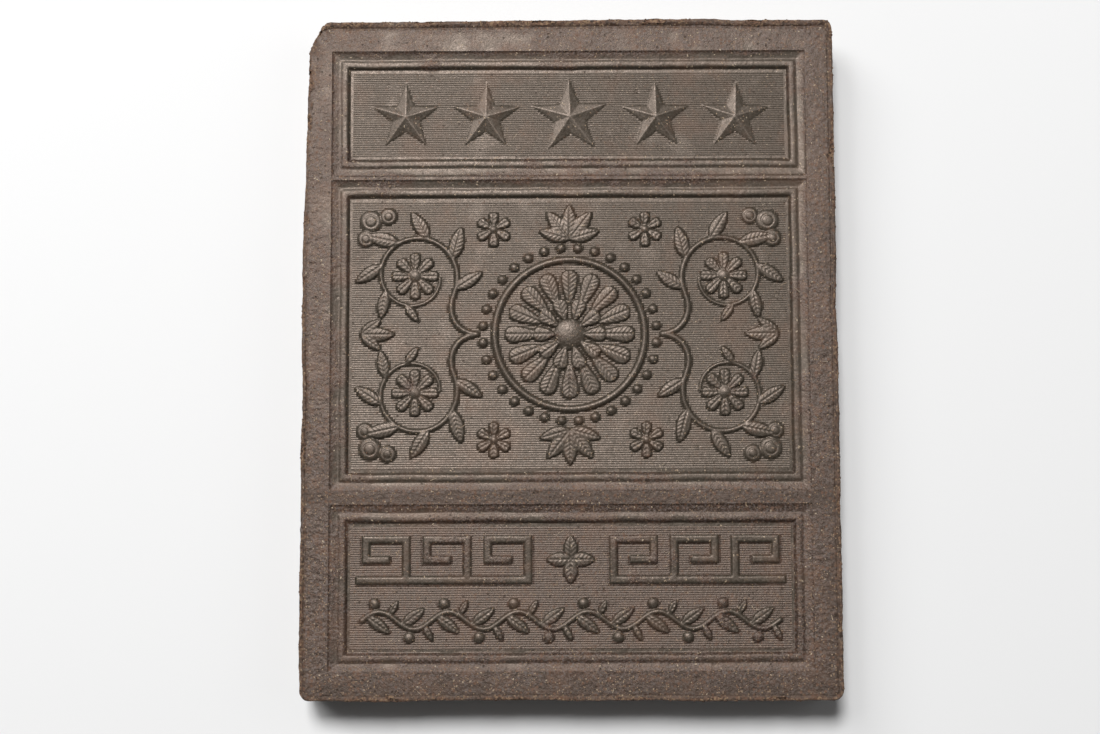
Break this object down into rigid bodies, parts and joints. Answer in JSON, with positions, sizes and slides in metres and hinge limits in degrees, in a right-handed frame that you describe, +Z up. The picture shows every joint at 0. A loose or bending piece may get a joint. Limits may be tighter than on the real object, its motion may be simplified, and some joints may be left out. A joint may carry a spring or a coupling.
{
  "type": "pressed black tea brick",
  "caption": "Flat rectangular brick of pressed black tea with a moulded face of sunk panels, stars and leafy ornament, and a scored back.",
  "frame": {"origin": "middle of the underside of the brick as it lies on its back with the moulded face up", "axes": "+X to the right and +Y to the top of the moulded face as it is looked at, +Z up through the thickness, out of the moulded face"},
  "size_m": [0.187, 0.238, 0.022],
  "materials": {
    "pressed_tea": "pressed tea dust with a dull sheen, grey-brown with tan and rusty flecks"
  },
  "bodies": {
    "root": {"brick": "pressed_tea"}
  },
  "joints": []
}
